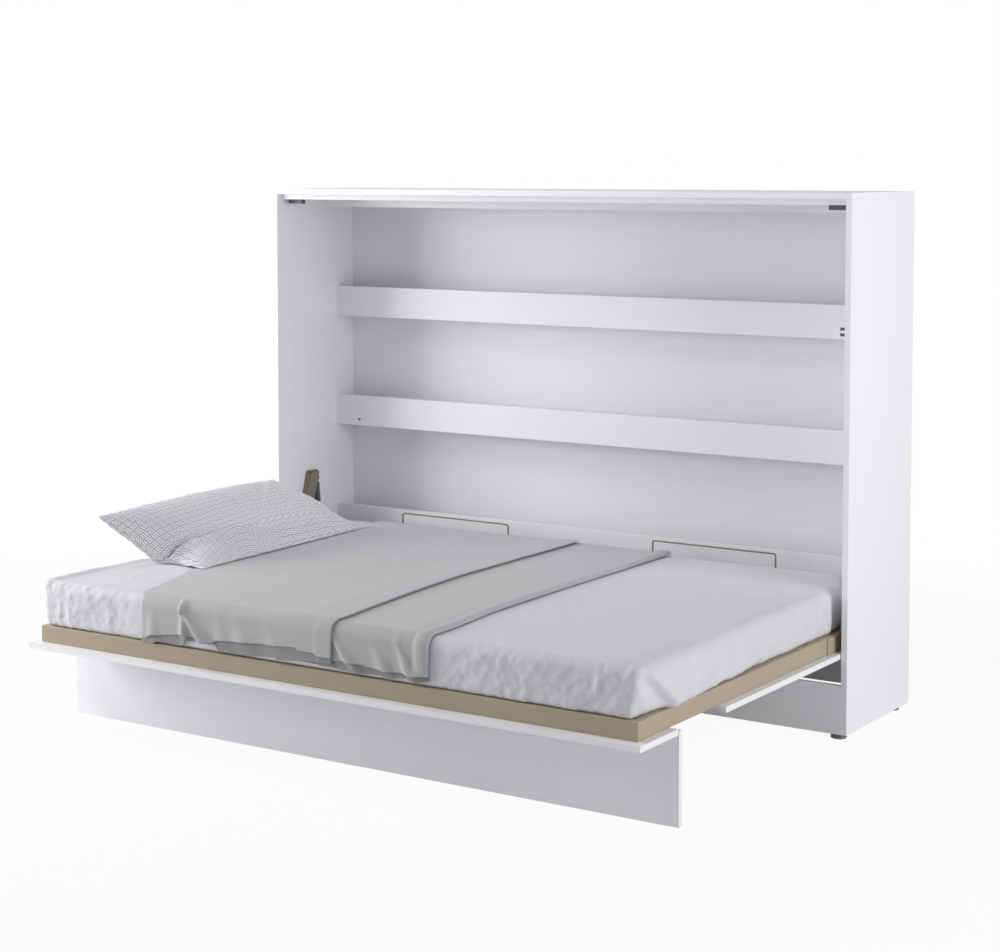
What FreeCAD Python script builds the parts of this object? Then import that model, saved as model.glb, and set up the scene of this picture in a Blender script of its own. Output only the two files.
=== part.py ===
import FreeCAD, Part
import math
import os

# Horizontal fold-down wall bed, shown open with its front leg panel down.
# Millimetres. X runs along the cabinet, Y from the room into the wall, Z up.
# Pieces are drawn with Y zero at the cabinet's front edges and Z zero on the floor,
# and each is then moved so that the origin is under the middle of the open bed.

V = FreeCAD.Vector

# Driving dimensions
cabinet_width = 2120.0
cabinet_height = 1588.0
shelf_setback = 328.0
service_depth = 79.0
facade_height = 238.0
pivot_setback = 76.75
mattress_thickness = 132.0

# Board thicknesses
panel_thickness = 18.0
board_thickness = 16.0
back_thickness = 3.0

# Clearances and the overrun of every cut
seat_gap = 0.3
running_gap = 0.05
overrun = 2.0

# Cabinet
glide_height = 16.0
plinth_height = 144.0
groove_depth = 8.0
groove_play = 1.0
back_recess = 40.0
back_bottom = 57.0
low_board_bottom = 82.0
low_board_top = 471.0
lower_shelf_bottom = 755.0
upper_shelf_bottom = 1139.0
shelf_lip_height = 104.0
apron_height = 46.0
apron_setback = 240.0
stop_batten_height = 18.0
stop_batten_play = 2.0

# Wall rail and its fixing holes
wall_rail_height = 80.0
wall_rail_thickness = 18.0
wall_hole_inset = 192.0
wall_hole_radius = 5.0
wall_hole_drop = 25.0

# Levelling glides
glide_radius = 24.0
glide_stem_radius = 5.0
glide_stem_length = 30.0
glide_front_setback = 27.0
glide_rear_setback = 50.0
glide_inset = 17.0
glide_bracket_width = 38.0
glide_bracket_depth = 44.0
glide_bracket_height = 28.0

# Fittings on the cabinet
catch_length = 56.0
catch_height = 15.0
catch_depth = 20.0
catch_setback = 42.0
catch_inset = 17.0
strike_depth = 12.0
strike_height = 32.0
strike_play = 2.0
strike_bottom = 1171.0
peg_radius = 3.5
peg_length = 4.0
peg_inset = 100.0
peg_rise = 21.0

# Facade boards
facade_side_gap = 3.5
facade_top_gap = 4.0
facade_recess = 2.0
facade_bottom_gap = 12.5
facade_strip_depth = 195.0

# Leg panel and its hinge
leg_gap = 4.0
leg_end_gap = 3.5
leg_hinge_drop = 1.0
leg_top_above_hinge = 3.0
leg_slot_width = 9.0
leg_slot_below_hinge = 8.0
tongue_thickness = 5.0
tongue_radius = 6.0
leg_pin_radius = 3.0
leg_pin_reach = 14.0

# Steel frame
frame_setback = 30.5
frame_side_gap = 27.0
frame_below_plinth_top = 25.5
tube_height = 50.0
tube_width = 25.0
tube_wall = 2.0
tube_corner = 3.0
cross_tube_height = 25.0
cross_tube_width = 40.0
cross_tube_place_shares = (-0.9, -0.3, 0.3, 0.9)

# Slats and their holders
slats_in_row = 14
slat_width = 53.0
slat_thickness = 8.0
slat_end_gap = 4.0
holder_wall = 4.0
holder_depth = 32.0
holder_back = 3.0
holder_drop = 2.0

# Pivot arms on the frame and pivot plates on the cabinet
arm_thickness = 4.0
arm_front = 117.0
arm_end_inset = 10.0
arm_edge_inset = 2.0
arm_boss_radius = 24.0
pivot_pin_radius = 8.0
pivot_collar_radius = 11.0
plate_thickness = 3.0
pivot_plate_width = 90.0
pivot_plate_height = 130.0
pivot_plate_corner = 12.0

# Gas struts
strut_top_back = 113.25
strut_top_rise = 267.25
strut_foot_inset = 30.0
strut_foot_drop = 27.75
strut_body_radius = 9.0
strut_rod_radius = 4.0
strut_eye_radius = 10.0
strut_foot_radius = 8.0
strut_eye_thickness = 12.0
strut_pin_radius = 4.0
strut_pin_head_radius = 6.5
strut_pin_head_thickness = 1.5
strut_stud_radius = 5.0
strut_neck_length = 16.0
strut_rod_show = 41.0
strut_bore_start = 31.0

# Hood brackets that carry the struts
hood_bottom_drop = 110.0
hood_top_rise = 26.0
hood_back = 22.0
hood_front_top = 40.0
hood_front_bottom = 80.0
hood_wall = 2.5
hood_cheek_gap = 1.0
hood_cheek_depth = 42.0
hood_corner = 6.0

# Wires that keep the mattress in place
wire_radius = 3.0
wire_span_share = 0.212
wire_offset_share = 0.2415
wire_above_mattress = 30.7
wire_bottom_below_frame = 40.0
wire_bend = 16.0

# Mattress in its fitted sheet
mattress_end_inset = 12.5
mattress_front_inset = 6.0
mattress_corner = 40.0
mattress_top_edge = 28.0
mattress_bottom_edge = 10.0

# Throws laid across the mattress, their edges by shares of its length
throw_thickness = 5.0
throw_rear_inset = 14.0
wide_front_right_share = 0.53
wide_rear_right_share = 0.525
wide_hang = 118.0
narrow_front_right_share = 0.6995
narrow_rear_right_share = 0.677
narrow_hang = 124.0
throw_overlap = 30.0
flute_top_width = 44.0
flute_bottom_width = 86.0
flute_top_swell = 1.2
flute_bottom_swell = 7.0
flute_start = 34.0
flute_root = 1.0
flute_crest_share = 0.4
wide_flute_place_shares = (0.16, 0.45, 0.78)
narrow_flute_place_shares = (0.42, 0.8)

# Pillow with its raised outer edge, its corners by shares of the mattress
pillow_outer_x_share = 0.0022
pillow_outer_front_share = 0.1685
pillow_outer_rear_share = 0.724
pillow_inner_front_x_share = 0.1768
pillow_inner_front_share = 0.248
pillow_inner_rear_x_share = 0.1334
pillow_inner_rear_share = 0.889
pillow_thickness = 112.0
pillow_throw_gap = 9.0
pillow_seam = 5.0
pillow_sag = 1.0
pillow_belly_points = 5
pillow_crown_points = 9
pillow_station_shares = (0.0, 0.06, 0.2, 0.5, 0.8, 0.94, 1.0)
pillow_puff_shares = (0.05, 0.16, 0.36, 0.42, 0.36, 0.16, 0.05)
pillow_outer_rise_shares = (1.28, 0.97, 0.8, 0.74, 0.84, 1.0, 1.16)
pillow_inner_rise_shares = (0.12, 0.14, 0.18, 0.2, 0.18, 0.14, 0.12)

# Levels and places worked out from the sizes above
half_width = cabinet_width / 2
inner_x = half_width - panel_thickness
panel_bottom = glide_height
top_underside = cabinet_height - panel_thickness
service_front = shelf_setback + board_thickness
back_front = service_front + service_depth
back_rear = back_front + back_thickness
cabinet_depth = back_rear + back_recess
plinth_top = panel_bottom + plinth_height

# The closed facade stands behind the cabinet's front edges, under the top panel
pivot_y = pivot_setback
pivot_z = pivot_y + facade_height - facade_recess
swing_sum = pivot_y + pivot_z
open_reach = top_underside - facade_top_gap - swing_sum
cabinet_front = (open_reach - cabinet_depth) / 2

facade_top = facade_height + board_thickness
facade_half_length = inner_x - facade_side_gap
strip_front = -open_reach
strip_rear = strip_front + facade_strip_depth

leg_axis_y = strip_rear + leg_gap + board_thickness / 2
leg_axis_z = facade_height + board_thickness / 2 - leg_hinge_drop
main_front = leg_axis_y + leg_axis_z + leg_end_gap
main_rear = swing_sum - plinth_top - facade_bottom_gap

frame_half = inner_x - frame_side_gap
frame_length = frame_half * 2
frame_front = strip_front + frame_setback
frame_rear = swing_sum - plinth_top + frame_below_plinth_top
frame_depth = frame_rear - frame_front
frame_bottom = facade_top
frame_top = frame_bottom + tube_height
frame_mid_z = frame_bottom + tube_height / 2
frame_mid_y = (frame_front + frame_rear) / 2

slat_bottom = frame_top - slat_thickness

arm_outer = frame_half + arm_thickness
strut_x = (arm_outer + inner_x - plate_thickness) / 2
strut_top = V(strut_x, pivot_y + strut_top_back, pivot_z + strut_top_rise)
strut_foot = V(strut_x, frame_rear - strut_foot_inset, pivot_z - strut_foot_drop)
strut_length = strut_top.distanceToPoint(strut_foot)
strut_body_length = strut_length - strut_neck_length - strut_rod_show

mattress_half_length = frame_half - mattress_end_inset
mattress_length = mattress_half_length * 2
mattress_bottom = frame_top + seat_gap
mattress_top = mattress_bottom + mattress_thickness
mattress_front = frame_front + mattress_front_inset
mattress_rear = frame_rear
mattress_depth = mattress_rear - mattress_front
throw_rear = mattress_rear - throw_rear_inset
wide_front_right = wide_front_right_share * mattress_length - mattress_half_length
wide_rear_right = wide_rear_right_share * mattress_length - mattress_half_length
narrow_front_right = narrow_front_right_share * mattress_length - mattress_half_length
narrow_rear_right = narrow_rear_right_share * mattress_length - mattress_half_length

pillow_seat = mattress_top - pillow_sag
pillow_outer_x = pillow_outer_x_share * mattress_length - mattress_half_length
pillow_inner_front_x = pillow_inner_front_x_share * mattress_length - mattress_half_length
pillow_inner_rear_x = pillow_inner_rear_x_share * mattress_length - mattress_half_length
pillow_outer_front_y = mattress_front + pillow_outer_front_share * mattress_depth
pillow_outer_rear_y = mattress_front + pillow_outer_rear_share * mattress_depth
pillow_inner_front_y = mattress_front + pillow_inner_front_share * mattress_depth
pillow_inner_rear_y = mattress_front + pillow_inner_rear_share * mattress_depth

# The wide throw's left edge runs along the pillow's inner edge
pillow_run = pillow_inner_rear_y - pillow_inner_front_y
pillow_slant = (pillow_inner_rear_x - pillow_inner_front_x) / pillow_run
throw_bend_front = mattress_front - mattress_top_edge
pillow_throw_x = pillow_inner_front_x + pillow_throw_gap
wide_front_left = pillow_throw_x + pillow_slant * (throw_bend_front - pillow_inner_front_y)
wide_rear_left = pillow_throw_x + pillow_slant * (throw_rear - pillow_inner_front_y)


def block(x_low, x_high, y_low, y_high, z_low, z_high):
    return Part.makeBox(x_high - x_low, y_high - y_low, z_high - z_low, V(x_low, y_low, z_low))


def mirrored(shape):
    return shape.mirror(V(0, 0, 0), V(1, 0, 0))


def rod(start, direction, radius, length):
    return Part.makeCylinder(radius, length, start, direction)


def corner_arc(before, corner, after, radius):
    # Start, middle and end of the arc that rounds one corner of a path.
    to_before = (before - corner).normalize()
    to_after = (after - corner).normalize()
    half_angle = to_before.getAngle(to_after) / 2
    tangent = radius / math.tan(half_angle)
    bisector = (to_before + to_after).normalize()
    centre = corner + bisector * (radius / math.sin(half_angle))
    return corner + to_before * tangent, centre - bisector * radius, corner + to_after * tangent


def line(start, end):
    return Part.LineSegment(start, end).toShape()


def rounded_loop(points, radius):
    count = len(points)
    arcs = [corner_arc(points[i - 1], points[i], points[(i + 1) % count], radius) for i in range(count)]
    edges = []
    for index, arc in enumerate(arcs):
        edges.append(Part.Arc(*arc).toShape())
        edges.append(line(arc[2], arcs[(index + 1) % count][0]))
    return Part.Wire(edges)


def side_plate(x_low, thickness, outline, radius):
    # A flat plate parallel to the side panels, from its outline in Y and Z.
    points = [V(x_low, y, z) for y, z in outline]
    return Part.Face(rounded_loop(points, radius)).extrude(V(thickness, 0, 0))


def edges_where(shape, test):
    return [edge for edge in shape.Edges if test(edge.BoundBox)]


def tube_bar(length, width, height):
    # Outside of a rectangular tube along X, with its middle at the origin.
    half = length / 2
    return block(-half, half, -width / 2, width / 2, -height / 2, height / 2)


def hollowed(bar, length, width, height):
    return bar.cut(tube_bar(length + 2 * overrun, width - 2 * tube_wall, height - 2 * tube_wall))


def mitred_rail(length):
    # One side of the frame, along X, with its longer face towards the front.
    bar = tube_bar(length, tube_width, tube_height)
    bar = bar.makeFillet(tube_corner, edges_where(bar, lambda box: box.XLength > length / 2))
    tube = hollowed(bar, length, tube_width, tube_height)
    half = length / 2
    outer_y = -tube_width / 2
    inner_y = tube_width / 2
    plan = [V(-half, outer_y, 0), V(half, outer_y, 0), V(half - tube_width, inner_y, 0),
            V(tube_width - half, inner_y, 0), V(-half, outer_y, 0)]
    wedge = Part.Face(Part.makePolygon(plan)).extrude(V(0, 0, tube_height))
    wedge.translate(V(0, 0, -tube_height / 2))
    return tube.common(wedge)


def turned(shape, degrees, centre):
    shape.rotate(V(0, 0, 0), V(0, 0, 1), degrees)
    shape.translate(centre)
    return shape


def save(node, *solids):
    shape = solids[0] if len(solids) == 1 else Part.Compound(list(solids))
    shape.translate(V(0, cabinet_front, 0))
    shape.exportStep(os.path.join("parts", node + ".step"))


def save_pair(name, *right):
    save(name + "_left", *[mirrored(solid) for solid in right])
    save(name + "_right", *right)


# Cabinet boards

def side_panel():
    panel = block(inner_x, half_width, 0, cabinet_depth, panel_bottom, top_underside)
    groove = block(inner_x - overrun, inner_x + groove_depth, back_front, back_rear,
                   back_bottom, top_underside + overrun)
    return panel.cut(groove)


def top_panel():
    panel = block(-half_width, half_width, 0, cabinet_depth, top_underside, cabinet_height)
    groove = block(-inner_x - groove_depth, inner_x + groove_depth, back_front, back_rear,
                   top_underside - overrun, top_underside + groove_depth)
    return panel.cut(groove)


def back_panel():
    half = inner_x + groove_depth - groove_play
    top = top_underside + groove_depth - groove_play
    return block(-half, half, back_front, back_rear, back_bottom, top)


def plinth():
    return block(-inner_x, inner_x, 0, board_thickness, panel_bottom, plinth_top)


def low_rear_board():
    return block(-inner_x, inner_x, shelf_setback, service_front, low_board_bottom, low_board_top)


def shelf_lip(bottom):
    return block(-inner_x, inner_x, shelf_setback, service_front, bottom, bottom + shelf_lip_height)


def shelf_board(bottom):
    return block(-inner_x, inner_x, service_front, back_front, bottom, bottom + board_thickness)


def top_apron():
    return block(-inner_x, inner_x, apron_setback, apron_setback + board_thickness,
                 top_underside - apron_height, top_underside)


def stop_batten():
    front = facade_recess + board_thickness + stop_batten_play
    return block(-inner_x, inner_x, front, front + board_thickness,
                 top_underside - stop_batten_height, top_underside)


def wall_rail():
    front = cabinet_depth - wall_rail_thickness
    rail = block(-inner_x, inner_x, front, cabinet_depth, top_underside - wall_rail_height, top_underside)
    for x in (wall_hole_inset - inner_x, inner_x - wall_hole_inset):
        start = V(x, front - overrun, top_underside - wall_hole_drop)
        rail = rail.cut(rod(start, V(0, 1, 0), wall_hole_radius, wall_rail_thickness + 2 * overrun))
    return rail


# Levelling glides and the brackets that hold them

def glide_places():
    x = inner_x - glide_inset
    front_y = glide_front_setback
    rear_y = cabinet_depth - glide_rear_setback
    return {"front_left": V(-x, front_y, 0), "front_right": V(x, front_y, 0),
            "rear_left": V(-x, rear_y, 0), "rear_right": V(x, rear_y, 0)}


def glide(place):
    up = V(0, 0, 1)
    cup = rod(place, up, glide_radius, glide_height - seat_gap)
    return cup.fuse(rod(place, up, glide_stem_radius, glide_height + glide_stem_length))


def glide_bracket(place, front):
    # Plastic block in the corner of the side panel, its front face at the given depth.
    side = 1 if place.x > 0 else -1
    inner = place.x - side * glide_bracket_width / 2
    wall = side * inner_x
    body = block(min(inner, wall), max(inner, wall), front, front + glide_bracket_depth,
                 glide_height, glide_height + glide_bracket_height)
    start = V(place.x, place.y, glide_height - overrun)
    length = glide_bracket_height + 2 * overrun
    return body.cut(rod(start, V(0, 0, 1), glide_stem_radius + running_gap, length))


# Small fittings on the cabinet

def frame_catch():
    # Hangs from the top panel behind the stop batten and reaches a little below it.
    outer = inner_x - catch_inset
    bottom = top_underside - stop_batten_height - catch_height
    return block(outer - catch_length, outer, catch_setback, catch_setback + catch_depth,
                 bottom, top_underside)


def catch_strike():
    # Stop block on the right panel, behind the closed facade and beside the frame.
    front = facade_recess + board_thickness + stop_batten_play
    return block(frame_half + strike_play, inner_x, front, front + strike_depth,
                 strike_bottom, strike_bottom + strike_height)


def shelf_peg():
    return rod(V(peg_inset - inner_x, shelf_setback - peg_length, lower_shelf_bottom + peg_rise),
               V(0, 1, 0), peg_radius, peg_length)


# Facade and leg panel

def facade_board(front, rear):
    return block(-facade_half_length, facade_half_length, front, rear, facade_height, facade_top)


def cross_tube_places():
    reach = frame_half - tube_width
    return [share * reach for share in cross_tube_place_shares]


def leg_hinge_places():
    places = cross_tube_places()
    return [places[0], places[-1]]


def leg_panel():
    half_board = board_thickness / 2
    panel = block(-facade_half_length, facade_half_length, leg_axis_y - half_board,
                  leg_axis_y + half_board, 0, leg_axis_z + leg_top_above_hinge)
    for x in leg_hinge_places():
        slot = block(x - leg_slot_width / 2, x + leg_slot_width / 2, leg_axis_y - half_board - overrun,
                     leg_axis_y + half_board + overrun, leg_axis_z - leg_slot_below_hinge,
                     leg_axis_z + leg_top_above_hinge + overrun)
        reach = tongue_thickness / 2 + leg_pin_reach + running_gap
        bore = rod(V(x - reach, leg_axis_y, leg_axis_z), V(1, 0, 0), leg_pin_radius + running_gap, 2 * reach)
        panel = panel.cut(slot).cut(bore)
    return panel


def leg_tongue(x):
    # Steel tongue under a cross tube, with the pin that the leg panel turns on.
    half = tongue_thickness / 2
    stem = block(x - half, x + half, leg_axis_y - tongue_radius, leg_axis_y + tongue_radius,
                 leg_axis_z, frame_bottom)
    eye = rod(V(x - half, leg_axis_y, leg_axis_z), V(1, 0, 0), tongue_radius, tongue_thickness)
    reach = half + leg_pin_reach
    pin = rod(V(x - reach, leg_axis_y, leg_axis_z), V(1, 0, 0), leg_pin_radius, 2 * reach)
    return stem.fuse(eye).fuse(pin)


# Steel frame

def frame_rail(degrees, length, x, y):
    return turned(mitred_rail(length), degrees, V(x, y, frame_mid_z))


def middle_rail():
    length = frame_length - 2 * tube_width
    tube = hollowed(tube_bar(length, tube_width, tube_height), length, tube_width, tube_height)
    return turned(tube, 0, V(0, frame_mid_y, frame_mid_z))


def row_spans():
    # The two stretches between the front, middle and rear rails.
    front = frame_front + tube_width
    rear = frame_rear - tube_width
    middle = tube_width / 2
    return [(front, frame_mid_y - middle), (frame_mid_y + middle, rear)]


def cross_tubes():
    tubes = []
    for low, high in row_spans():
        for x in cross_tube_places():
            length = high - low
            bar = tube_bar(length, cross_tube_width, cross_tube_height)
            tube = hollowed(bar, length, cross_tube_width, cross_tube_height)
            tubes.append(turned(tube, 90, V(x, (low + high) / 2, frame_bottom + cross_tube_height / 2)))
    return tubes


# Slats and holders

def slat_places():
    span = frame_length - 2 * tube_width
    pitch = span / slats_in_row
    return [(index + 1 / 2) * pitch - span / 2 for index in range(slats_in_row)]


def slat(x, low, high):
    half = slat_width / 2
    return block(x - half, x + half, low + slat_end_gap, high - slat_end_gap, slat_bottom, frame_top)


def slat_holder(x, rail_y, side):
    # Plastic seat screwed to a rail; side is the way that its pocket opens.
    half_pocket = slat_width / 2 + seat_gap
    half = half_pocket + holder_wall
    floor = slat_bottom - seat_gap
    top = frame_top - holder_drop
    end = rail_y + side * holder_depth
    body = block(x - half, x + half, min(rail_y, end), max(rail_y, end), floor - holder_wall, top)
    near = rail_y + side * holder_back
    far = end + side * overrun
    return body.cut(block(x - half_pocket, x + half_pocket, min(near, far), max(near, far),
                          floor, top + overrun))


def holders_of_row(low, high):
    return [slat_holder(x, y, side) for y, side in ((low, 1), (high, -1)) for x in slat_places()]


# Pivot arms, pivot plates and struts

def pivot_arm():
    # Flat steel bar on the frame's side with a round boss where it turns on the pin.
    bar = block(frame_half, arm_outer, pivot_y - arm_front, frame_rear - arm_end_inset,
                frame_bottom + arm_edge_inset, frame_top - arm_edge_inset)
    along = V(1, 0, 0)
    boss = rod(V(frame_half, pivot_y, pivot_z), along, arm_boss_radius, arm_thickness)
    bore_start = V(frame_half - overrun, pivot_y, pivot_z)
    bore = rod(bore_start, along, pivot_pin_radius + running_gap, arm_thickness + 2 * overrun)
    return bar.fuse(boss).cut(bore)


def pivot_plate():
    face = inner_x - plate_thickness
    half_y = pivot_plate_width / 2
    half_z = pivot_plate_height / 2
    outline = [(pivot_y - half_y, pivot_z - half_z), (pivot_y + half_y, pivot_z - half_z),
               (pivot_y + half_y, pivot_z + half_z), (pivot_y - half_y, pivot_z + half_z)]
    plate = side_plate(face, plate_thickness, outline, pivot_plate_corner)
    along = V(1, 0, 0)
    collar_start = arm_outer + seat_gap
    pin = rod(V(frame_half, pivot_y, pivot_z), along, pivot_pin_radius, collar_start - frame_half)
    collar = rod(V(collar_start, pivot_y, pivot_z), along, pivot_collar_radius, face - collar_start)
    return plate, collar, pin


def hood_outline(depth_at_top, depth_at_bottom):
    # Side view of the hood from its slanted front edge back by the given depths.
    bottom = strut_top.z - hood_bottom_drop
    top = strut_top.z + hood_top_rise
    front_top = strut_top.y - hood_front_top
    front_bottom = strut_top.y - hood_front_bottom
    return [(front_bottom, bottom), (front_bottom + depth_at_bottom, bottom),
            (front_top + depth_at_top, top), (front_top, top)]


def strut_hood():
    face = inner_x - plate_thickness
    full_top = hood_front_top + hood_back
    full_bottom = hood_front_bottom + hood_back
    plate = side_plate(face, plate_thickness, hood_outline(full_top, full_bottom), hood_corner)
    cheek_face = frame_half + hood_cheek_gap
    cheek = side_plate(cheek_face, hood_wall, hood_outline(hood_cheek_depth, hood_cheek_depth), hood_corner)
    bottom = strut_top.z - hood_bottom_drop + hood_corner
    top = strut_top.z + hood_top_rise - hood_corner
    slope = (hood_front_bottom - hood_front_top) / (hood_bottom_drop + hood_top_rise)
    low_y = strut_top.y - hood_front_bottom + slope * hood_corner
    high_y = strut_top.y - hood_front_top - slope * hood_corner
    web_start = cheek_face + hood_wall
    web = [V(web_start, low_y, bottom), V(web_start, low_y + hood_wall, bottom),
           V(web_start, high_y + hood_wall, top), V(web_start, high_y, top), V(web_start, low_y, bottom)]
    front_web = Part.Face(Part.makePolygon(web)).extrude(V(face - web_start, 0, 0))
    along = V(1, 0, 0)
    pin_start = strut_x - strut_eye_thickness / 2 - 2 * seat_gap
    pin = rod(V(pin_start, strut_top.y, strut_top.z), along, strut_pin_radius, face - pin_start)
    head_start = pin_start - strut_pin_head_thickness
    head = rod(V(head_start, strut_top.y, strut_top.z), along, strut_pin_head_radius,
               strut_pin_head_thickness)
    return plate, front_web, cheek, pin, head


def strut_direction():
    return (strut_foot - strut_top).normalize()


def strut_eye(centre, radius):
    return rod(centre - V(strut_eye_thickness / 2, 0, 0), V(1, 0, 0), radius, strut_eye_thickness)


def strut_cylinder():
    down = strut_direction()
    neck = rod(strut_top, down, strut_rod_radius, strut_neck_length)
    body = rod(strut_top + down * strut_neck_length, down, strut_body_radius, strut_body_length)
    bore_length = strut_neck_length + strut_body_length - strut_bore_start + overrun
    bore = rod(strut_top + down * strut_bore_start, down, strut_rod_radius + running_gap, bore_length)
    hole_start = strut_top - V(strut_eye_thickness / 2 + overrun, 0, 0)
    hole_length = strut_eye_thickness + 2 * overrun
    pin_hole = rod(hole_start, V(1, 0, 0), strut_pin_radius + running_gap, hole_length)
    return strut_eye(strut_top, strut_eye_radius).fuse(neck).fuse(body).cut(bore).cut(pin_hole)


def strut_rod():
    down = strut_direction()
    start = strut_bore_start + seat_gap
    length = strut_length - start
    shaft = rod(strut_top + down * start, down, strut_rod_radius, length)
    stud_start = arm_outer + seat_gap
    stud_end = V(stud_start, strut_foot.y, strut_foot.z)
    stud = rod(stud_end, V(1, 0, 0), strut_stud_radius, strut_x - stud_start)
    return shaft.fuse(strut_eye(strut_foot, strut_foot_radius)).fuse(stud)


# Mattress wires

def mattress_wire(centre_x):
    y = frame_rear + seat_gap + wire_radius
    bottom = frame_top - wire_bottom_below_frame
    top = mattress_top + wire_above_mattress
    left = centre_x - wire_span_share * frame_half
    right = centre_x + wire_span_share * frame_half
    corners = [V(left, y, bottom), V(left, y, top - wire_bend), V(left + wire_bend, y, top),
               V(right - wire_bend, y, top), V(right, y, top - wire_bend), V(right, y, bottom)]
    path = Part.makePolygon(corners)
    circle = Part.Wire(Part.makeCircle(wire_radius, corners[0], V(0, 0, 1)))
    return path.makePipeShell([circle], True, True, 1)


# Mattress, throws and pillow

def mattress():
    body = block(-mattress_half_length, mattress_half_length, mattress_front, mattress_rear,
                 mattress_bottom, mattress_top)
    upright = edges_where(body, lambda box: box.ZLength > mattress_thickness / 2)
    body = body.makeFillet(mattress_corner, upright)
    upper = edges_where(body, lambda box: box.ZMin > mattress_top - seat_gap)
    body = body.makeFillet(mattress_top_edge, upper)
    lower = edges_where(body, lambda box: box.ZMax < mattress_bottom + seat_gap)
    return body.makeChamfer(mattress_bottom_edge, lower)


def throw_section(gap, thickness, hang, x):
    # Section across the bed: flat on the mattress, round its front edge, then hanging.
    bend_y = mattress_front + mattress_top_edge
    bend_z = mattress_top - mattress_top_edge
    inner = mattress_top_edge + gap
    outer = inner + thickness
    half_turn_share = math.sqrt(1 / 2)
    bottom = mattress_top - hang
    top_in = [V(x, throw_rear, bend_z + inner), V(x, bend_y, bend_z + inner)]
    mid_in = V(x, bend_y - inner * half_turn_share, bend_z + inner * half_turn_share)
    front_in = [V(x, bend_y - inner, bend_z), V(x, bend_y - inner, bottom)]
    front_out = [V(x, bend_y - outer, bottom), V(x, bend_y - outer, bend_z)]
    mid_out = V(x, bend_y - outer * half_turn_share, bend_z + outer * half_turn_share)
    top_out = [V(x, bend_y, bend_z + outer), V(x, throw_rear, bend_z + outer)]
    inner_side = [line(*top_in), Part.Arc(top_in[1], mid_in, front_in[0]).toShape(), line(*front_in)]
    outer_side = [line(*front_out), Part.Arc(front_out[1], mid_out, top_out[0]).toShape(), line(*top_out)]
    hem = line(front_in[1], front_out[0])
    rear_edge = line(top_out[1], top_in[0])
    return Part.Face(Part.Wire(inner_side + [hem] + outer_side + [rear_edge]))


def throw_piece(gap, thickness, hang, front_left, front_right, rear_left, rear_right):
    left = min(front_left, rear_left)
    right = max(front_right, rear_right)
    cloth = throw_section(gap, thickness, hang, left).extrude(V(right - left, 0, 0))
    front = throw_bend_front
    low = frame_bottom
    plan = [V(front_left, front, low), V(front_right, front, low), V(rear_right, throw_rear, low),
            V(rear_left, throw_rear, low), V(front_left, front, low)]
    prism = Part.Face(Part.makePolygon(plan)).extrude(V(0, 0, tube_height + mattress_thickness * 2))
    return cloth.common(prism)


def flute_ring(centre_x, face_y, width, swell, z):
    half = width / 2
    half_crest = half * flute_crest_share
    left = V(centre_x - half, face_y, z)
    crest = [V(centre_x - half_crest, face_y - swell, z), V(centre_x + half_crest, face_y - swell, z)]
    return Part.makePolygon([left] + crest + [V(centre_x + half, face_y, z), left])


def flute(centre_x, cloth_face, hang):
    # One soft fold of the hanging cloth, widening towards the hem.
    face_y = cloth_face + flute_root
    top_swell = flute_root + flute_top_swell
    bottom_swell = flute_root + flute_bottom_swell
    top = flute_ring(centre_x, face_y, flute_top_width, top_swell, mattress_top - flute_start)
    bottom = flute_ring(centre_x, face_y, flute_bottom_width, bottom_swell, mattress_top - hang)
    return Part.makeLoft([bottom, top], True, True)


def fluted(cloth, cloth_face, hang, left, right, shares):
    for share in shares:
        cloth = cloth.fuse(flute(left + share * (right - left), cloth_face, hang))
    return cloth


def narrow_throw():
    left = wide_front_right - throw_overlap
    rear_left = wide_rear_right - throw_overlap
    cloth = throw_piece(seat_gap, throw_thickness, narrow_hang, left, narrow_front_right,
                        rear_left, narrow_rear_right)
    face = mattress_front - seat_gap - throw_thickness
    return fluted(cloth, face, narrow_hang, left, narrow_front_right, narrow_flute_place_shares)


def wide_throw():
    # Lies on the mattress and, along its right edge, on the narrow throw.
    step_front = wide_front_right - throw_overlap - seat_gap
    step_rear = wide_rear_right - throw_overlap - seat_gap
    riser_front = step_front - throw_thickness
    riser_rear = step_rear - throw_thickness
    upper_gap = 2 * seat_gap + throw_thickness
    base = throw_piece(seat_gap, throw_thickness, wide_hang, wide_front_left, step_front,
                       wide_rear_left, step_rear)
    riser = throw_piece(seat_gap, upper_gap - seat_gap + throw_thickness, wide_hang,
                        riser_front, step_front, riser_rear, step_rear)
    lip = throw_piece(upper_gap, throw_thickness, wide_hang, riser_front, wide_front_right,
                      riser_rear, wide_rear_right)
    face = mattress_front - seat_gap - throw_thickness
    cloth = fluted(base, face, wide_hang, wide_front_left, step_front, wide_flute_place_shares)
    return cloth.fuse(riser).fuse(lip)


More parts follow.
